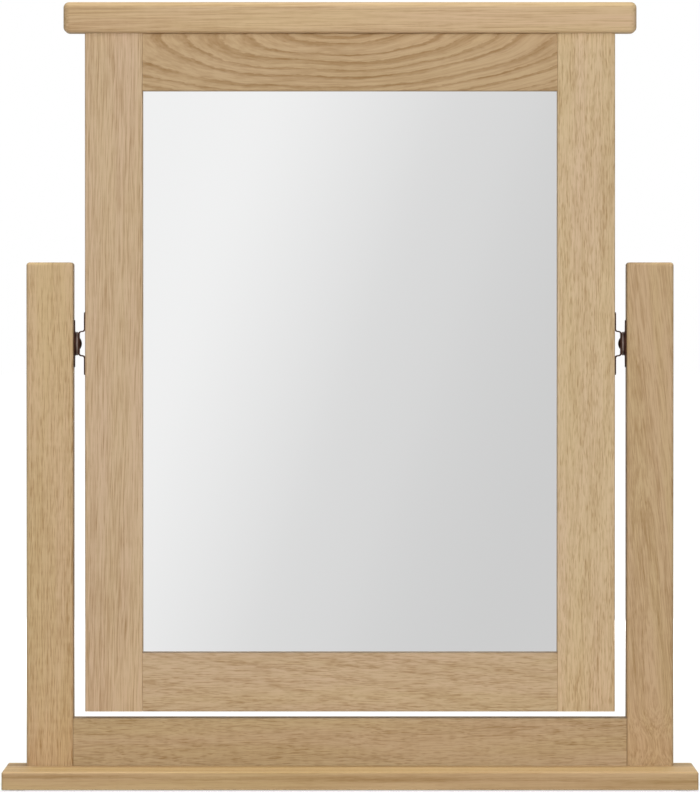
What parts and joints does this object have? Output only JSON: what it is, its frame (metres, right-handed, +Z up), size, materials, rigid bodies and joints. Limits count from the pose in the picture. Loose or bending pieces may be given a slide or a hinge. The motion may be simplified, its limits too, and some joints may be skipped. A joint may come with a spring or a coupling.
{
  "type": "dressing table mirror",
  "caption": "Oak dressing table mirror: a rectangular framed glass under an overhanging cap, swivelling between upright posts on a flat base board.",
  "frame": {"origin": "on the table top, under the middle of the base board", "axes": "+Z up, +Y towards the back (the glass faces -Y), +X to the right as seen from the front"},
  "size_m": [0.5376, 0.125, 0.611],
  "materials": {
    "oak": "satin lacquer over light oak",
    "beech": "bare",
    "hardboard": "smooth bare board",
    "silvered_glass": "polished, silvered and painted at the back",
    "rubber": "matt",
    "clear_rubber": "soft, clear",
    "bronze": "dark antique",
    "washer_metal": "turned, dull",
    "plated_steel": "zinc plated"
  },
  "bodies": {
    "stand": {"base_board": "oak", "left_post": "oak", "right_post": "oak", "cross_rail": "oak", "rubber_feet": "clear_rubber", "stand_dowels": "beech", "post_screws": "plated_steel", "cross_rail_screws": "plated_steel", "left_post_plate": "bronze", "right_post_plate": "bronze", "left_friction_washer": "washer_metal", "right_friction_washer": "washer_metal", "left_pivot_rivet": "bronze", "right_pivot_rivet": "bronze", "post_plate_screws": "bronze"},
    "mirror": {"left_stile": "oak", "right_stile": "oak", "top_rail": "oak", "bottom_rail": "oak", "top_cap": "oak", "frame_dowels": "beech", "cap_dowels": "beech", "mirror_glass": "silvered_glass", "glazing_strips": "rubber", "backing_board": "hardboard", "backing_screws": "plated_steel", "left_strap": "bronze", "right_strap": "bronze", "strap_screws": "bronze"}
  },
  "joints": [
    {"name": "mirror_tilt", "type": "hinge", "parent": "stand", "child": "mirror", "pos_m": [0, 0.0375, 0.3445], "axis": [1, 0, 0], "range_deg": [-170, 170]}
  ]
}
